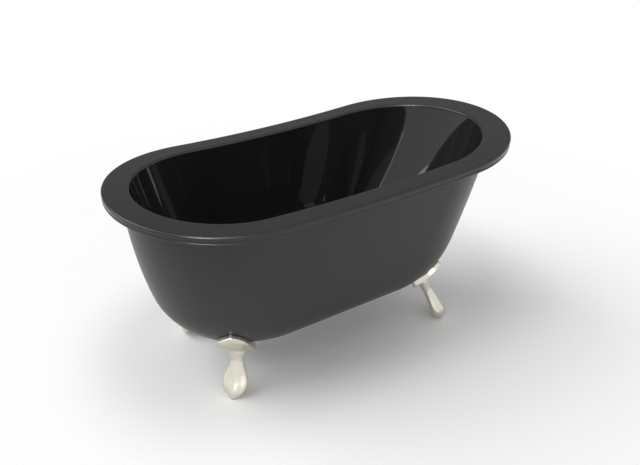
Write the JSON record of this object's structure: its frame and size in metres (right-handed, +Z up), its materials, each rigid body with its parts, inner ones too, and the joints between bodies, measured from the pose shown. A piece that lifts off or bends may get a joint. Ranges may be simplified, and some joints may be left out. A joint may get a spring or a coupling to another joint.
{
  "type": "freestanding soaking bathtub",
  "caption": "Freestanding soaking bathtub with a wide flat rim that rises to both ends, a double-skinned body, splayed cast feet and a lift-up drain stopper.",
  "frame": {"origin": "on the floor, under the middle of the rim", "axes": "+X along the tub away from the drain, +Y across it, +Z up"},
  "size_m": [1.5, 0.712, 0.7579],
  "materials": {
    "rim_finish": "satin charcoal",
    "basin_gloss": "high-gloss black",
    "skin_finish": "satin charcoal",
    "plywood": "raw plywood",
    "frame_steel": "grey primer",
    "foot_metal": "satin champagne",
    "pad_rubber": "matt black",
    "zinc_steel": "zinc plated",
    "waste_metal": "satin graphite",
    "seal_rubber": "matt black",
    "waste_plastic": "moulded dark grey"
  },
  "bodies": {
    "tub": {"rim": "rim_finish", "basin": "basin_gloss", "outer_skin": "skin_finish", "base_board": "plywood", "front_rail": "frame_steel", "back_rail": "frame_steel", "left_brace": "frame_steel", "right_brace": "frame_steel", "front_left_foot": "foot_metal", "front_right_foot": "foot_metal", "back_left_foot": "foot_metal", "back_right_foot": "foot_metal", "front_left_pad": "pad_rubber", "front_right_pad": "pad_rubber", "back_left_pad": "pad_rubber", "back_right_pad": "pad_rubber", "foot_studs": "zinc_steel", "foot_washers": "zinc_steel", "foot_nuts": "zinc_steel", "board_screws": "zinc_steel", "brace_bolts": "zinc_steel", "drain_flange": "waste_metal", "drain_gasket": "seal_rubber", "drain_shoe": "waste_plastic", "stopper_sleeve": "waste_metal", "overflow_plate": "waste_metal", "overflow_screw": "waste_metal", "overflow_gasket": "seal_rubber", "overflow_body": "waste_plastic", "overflow_pipe": "waste_plastic", "waste_tee": "waste_plastic", "slip_nuts": "waste_plastic", "tailpiece": "waste_metal", "pipe_grommet": "seal_rubber"},
    "stopper": {"stopper_cap": "waste_metal", "stopper_stem": "waste_metal", "stopper_seal": "seal_rubber"}
  },
  "joints": [
    {"name": "stopper_lift", "type": "slide", "parent": "tub", "child": "stopper", "axis": [0, 0, 1], "range_m": [0, 0.01]}
  ]
}
